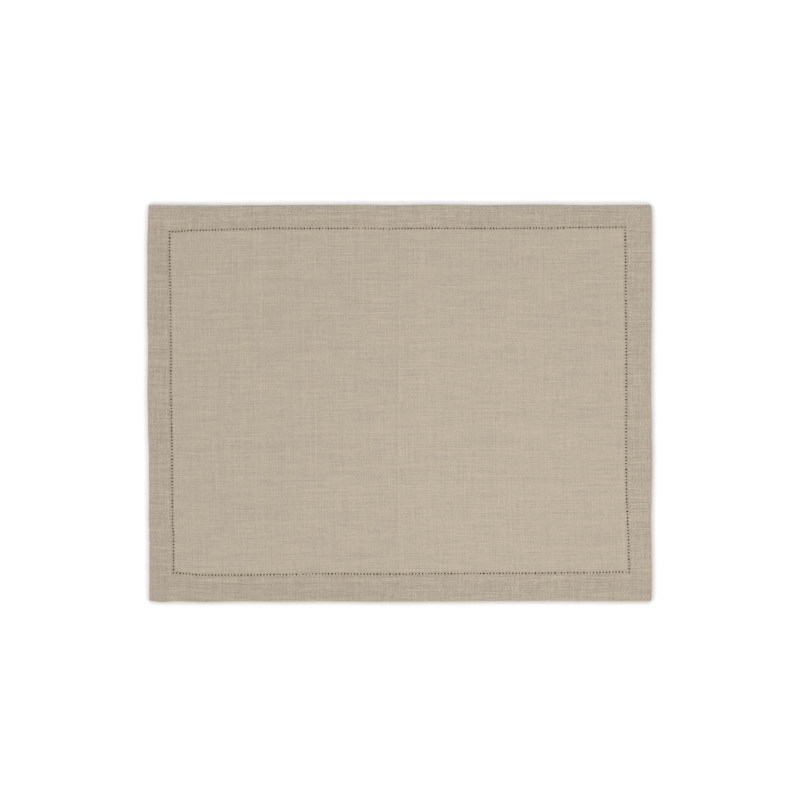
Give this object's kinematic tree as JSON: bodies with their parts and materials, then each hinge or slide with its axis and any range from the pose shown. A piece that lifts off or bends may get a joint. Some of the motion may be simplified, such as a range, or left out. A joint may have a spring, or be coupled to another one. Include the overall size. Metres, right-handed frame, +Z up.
{
  "type": "fabric placemat",
  "caption": "Rectangular linen table mat, woven plain, with a folded self hem held by a drawn-thread stitch row, laid flat under a place setting.",
  "frame": {"origin": "centre of the mat's rectangle, on the surface that it lies on", "axes": "+X along the long sides, +Y along the short sides towards the far edge, +Z up out of the right side"},
  "size_m": [0.4838, 0.381, 0.0026],
  "materials": {
    "linen": "matt plain-woven flax linen with slubs"
  },
  "bodies": {
    "root": {"placemat": "linen"}
  },
  "joints": []
}
